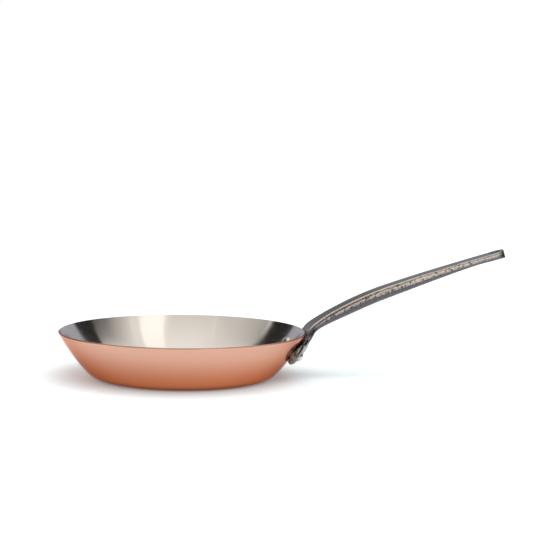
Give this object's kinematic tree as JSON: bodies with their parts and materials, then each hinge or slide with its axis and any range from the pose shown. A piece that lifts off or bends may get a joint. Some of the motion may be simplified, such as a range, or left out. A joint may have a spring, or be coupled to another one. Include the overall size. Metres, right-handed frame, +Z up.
{
  "type": "frying pan",
  "caption": "Shallow round copper frying pan with flared walls, a steel lining and a long riveted cast-iron handle with a hanging eye.",
  "frame": {"origin": "centre of the pan on the underside of its base", "axes": "+Z up along the pan's axis, +X along the handle towards its tip"},
  "size_m": [0.4435, 0.2432, 0.1281],
  "materials": {
    "copper": "satin brushed copper",
    "lining_steel": "fine circular brushing",
    "cast_iron": "as cast, smoothed on top",
    "rivet_steel": "polished"
  },
  "bodies": {
    "root": {"copper_body": "copper", "steel_lining": "lining_steel", "handle": "cast_iron", "rivet_left": "rivet_steel", "rivet_right": "rivet_steel", "rivet_low": "rivet_steel"}
  },
  "joints": []
}
